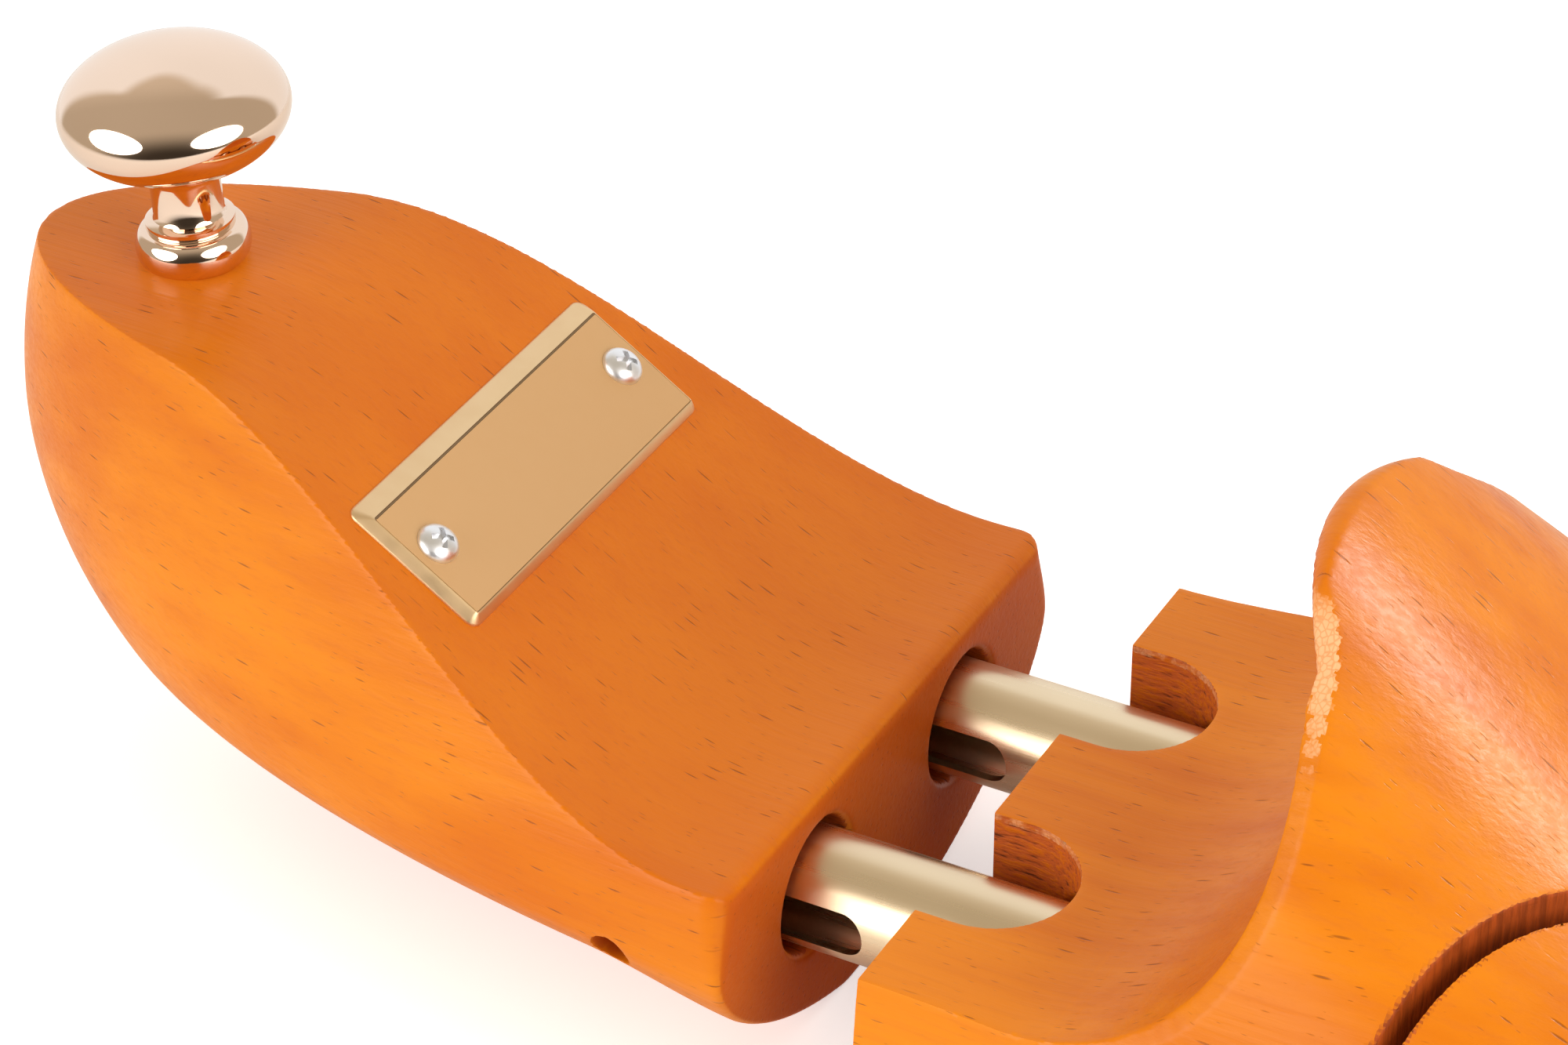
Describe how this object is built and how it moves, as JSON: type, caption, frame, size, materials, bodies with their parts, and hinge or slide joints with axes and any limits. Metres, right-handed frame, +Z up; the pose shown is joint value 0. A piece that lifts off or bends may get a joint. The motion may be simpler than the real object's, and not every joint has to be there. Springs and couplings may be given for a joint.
{
  "type": "shoe tree",
  "caption": "Wooden shoe tree: a sprung heel block with a pull knob slides on twin tubes that lift on a hinge in the front block, and a sprung side block spreads the split toe.",
  "frame": {"origin": "on the sole plane, midway between the two tubes, below the hinge pin's axis", "axes": "+X to the toe along the tubes, +Y to the inner side of the foot, +Z up from the sole"},
  "size_m": [0.2671, 0.0898, 0.0671],
  "materials": {
    "heel_wood": "satin lacquer",
    "front_wood": "satin lacquer",
    "side_wood": "satin lacquer",
    "knob_metal": "polished",
    "tube_metal": "satin",
    "plate_metal": "satin panel with polished bevels",
    "screw_metal": "bright zinc",
    "pin_metal": "ground",
    "spring_metal": "drawn wire",
    "bush_metal": "turned"
  },
  "bodies": {
    "front": {"front_block": "front_wood", "hinge_pin": "pin_metal", "guide_pin_rear": "pin_metal", "guide_pin_front": "pin_metal", "toe_spring_rear": "spring_metal", "toe_spring_front": "spring_metal"},
    "tubes": {"tube_left": "tube_metal", "tube_right": "tube_metal"},
    "heel": {"heel_block": "heel_wood", "heel_knob": "knob_metal", "knob_stud": "pin_metal", "name_plate": "plate_metal", "plate_screws": "screw_metal", "heel_cross_pin": "pin_metal", "slide_spring_left": "spring_metal", "slide_spring_right": "spring_metal"},
    "toe_side": {"toe_side_block": "side_wood", "guide_bushes": "bush_metal"}
  },
  "joints": [
    {"name": "heel_lift", "type": "hinge", "parent": "front", "child": "tubes", "pos_m": [0, 0, 0.014], "axis": [0, 1, 0], "range_deg": [0, 12]},
    {"name": "heel_slide", "type": "slide", "parent": "tubes", "child": "heel", "axis": [1, 0, 0], "range_m": [0, 0.0103], "stiffness_N_per_m": 3000, "springref_m": -0.004, "deforming": ["slide_spring_left", "slide_spring_right"]},
    {"name": "toe_spread", "type": "slide", "parent": "front", "child": "toe_side", "axis": [0, 1, 0], "range_m": [0, 0.0019], "stiffness_N_per_m": 6000, "springref_m": -0.002, "deforming": ["toe_spring_rear", "toe_spring_front"]}
  ]
}
